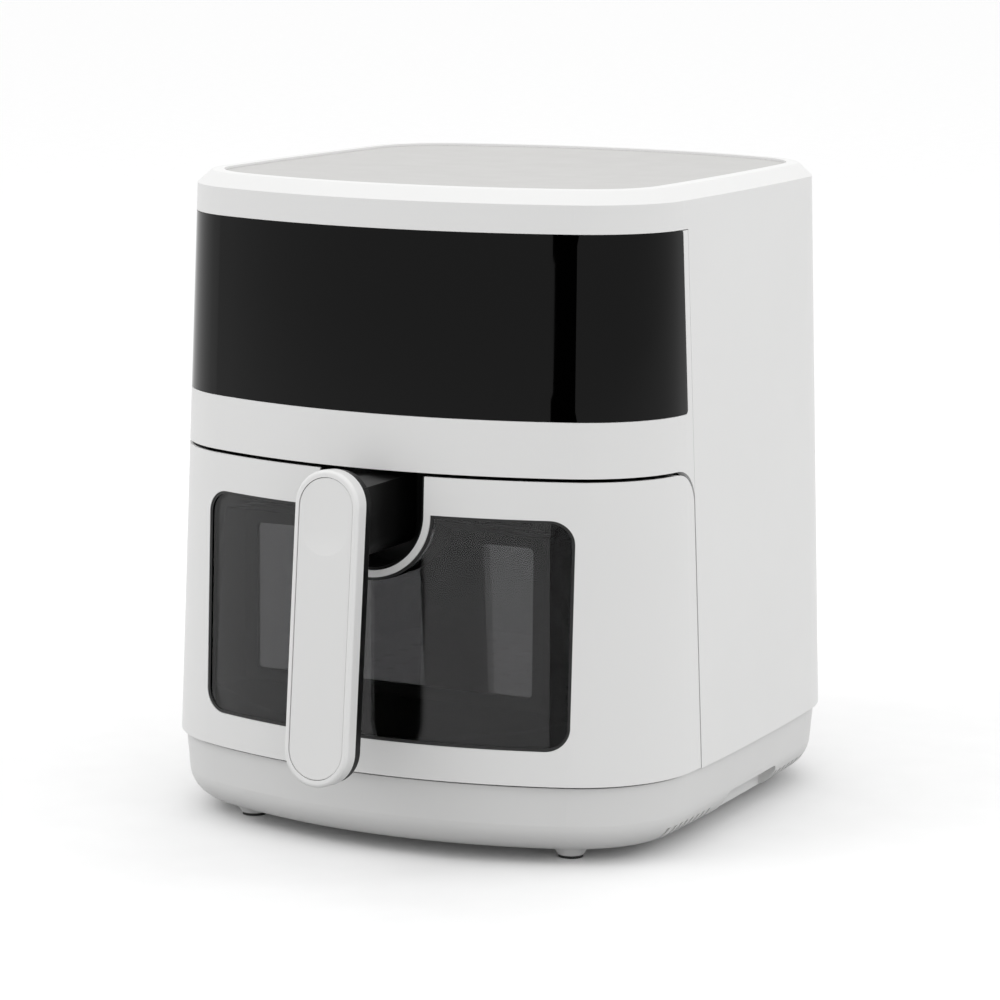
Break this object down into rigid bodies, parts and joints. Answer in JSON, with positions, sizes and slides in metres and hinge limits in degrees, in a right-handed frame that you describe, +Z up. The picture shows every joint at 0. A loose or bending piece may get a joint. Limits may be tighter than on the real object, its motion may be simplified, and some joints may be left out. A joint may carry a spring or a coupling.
{
  "type": "air fryer",
  "caption": "Upright air fryer with a pull-out pan behind a windowed drawer front, a stadium-shaped handle and a wrap-round black display panel.",
  "frame": {"origin": "on the floor, at the centre of the whole object's box", "axes": "+Z up, the drawer and handle face -Y, +X to the right of a person facing the rear from the front"},
  "size_m": [0.28, 0.3634, 0.3233],
  "materials": {
    "aluminium": "stamped",
    "black_plastic": "satin black",
    "board_green": "circuit board",
    "bronze": "sintered bush",
    "ceramic": "unglazed ceramic bush",
    "component_black": "moulded component",
    "component_blue": "moulded component",
    "copper_coil": "enamelled winding",
    "dark_plastic": "dark grey, heat-proof",
    "display_black": "polished black glass",
    "foot_rubber": "black rubber",
    "heater_tube": "oxidised sheath",
    "inner_glass": "tempered glass",
    "inset_white": "satin white",
    "lamp_glass": "frosted glass",
    "pan_coating": "non-stick dark coating, fine speckle",
    "plunger_white": "acetal",
    "seal_rubber": "black silicone",
    "sheet_steel": "galvanised sheet",
    "smoked_glass": "smoked glass",
    "steel": "machined steel",
    "top_grey": "satin pale grey",
    "white_base": "satin white",
    "white_shell": "satin white, fine moulded texture"
  },
  "bodies": {
    "housing": {"base_housing": "white_base", "base_deck": "black_plastic", "rubber_feet": "foot_rubber", "side_shell": "white_shell", "top_panel": "top_grey", "front_fascia": "white_shell", "display_panel": "display_black", "display_board": "board_green", "front_frame": "black_plastic", "chamber": "sheet_steel", "drawer_runners": "steel", "fan_shroud": "sheet_steel", "heating_element": "heater_tube", "heater_bushes": "ceramic", "heater_guard": "steel", "motor_stator": "steel", "motor_coil": "copper_coil", "motor_brackets": "sheet_steel", "motor_bushes": "bronze", "power_board": "board_green", "board_transformer": "component_black", "board_relay": "component_blue", "board_capacitors": "component_black", "buzzer": "component_black", "temperature_sensor": "steel", "thermal_fuse": "ceramic", "chamber_lamp": "lamp_glass", "lamp_lens": "lamp_glass", "interlock_switch": "component_black", "air_duct": "sheet_steel", "exhaust_grille": "black_plastic", "cord_gland": "black_plastic", "bracket_screws": "steel", "board_screws": "steel"},
    "drawer": {"drawer_front": "white_shell", "drawer_cap": "black_plastic", "window_gasket": "seal_rubber", "window_glass": "smoked_glass", "window_surround": "dark_plastic", "drawer_liner": "dark_plastic", "handle_pocket": "black_plastic", "pan": "pan_coating", "inner_seal": "seal_rubber", "inner_glass": "inner_glass", "inner_frame": "dark_plastic", "handle_cover": "white_shell", "handle_inset": "inset_white", "handle_core": "black_plastic", "handle_screws": "steel"},
    "crisper": {"crisper_plate": "pan_coating", "crisper_feet": "seal_rubber"},
    "fan_rotor": {"motor_shaft": "steel", "motor_rotor": "steel", "convection_fan": "aluminium", "fan_nut": "steel", "cooling_fan": "component_black"},
    "interlock_plunger_body": {"interlock_plunger": "plunger_white"}
  },
  "joints": [
    {"name": "drawer_slide", "type": "slide", "parent": "housing", "child": "drawer", "axis": [0, -1, 0], "range_m": [0, 0.24]},
    {"name": "crisper_lift", "type": "slide", "parent": "drawer", "child": "crisper", "axis": [0, 0, 1], "range_m": [0, 0.11]},
    {"name": "fan_spin", "type": "hinge", "parent": "housing", "child": "fan_rotor", "pos_m": [0, 0.02401, 0.25], "axis": [0, 0, 1], "continuous": true},
    {"name": "interlock_slide", "type": "slide", "parent": "housing", "child": "interlock_plunger_body", "axis": [0, -1, 0], "range_m": [0, 0.0036]}
  ],
  "couplings": [
    {"joint": "interlock_slide", "follows": "drawer_slide", "ratio": 0.015}
  ]
}
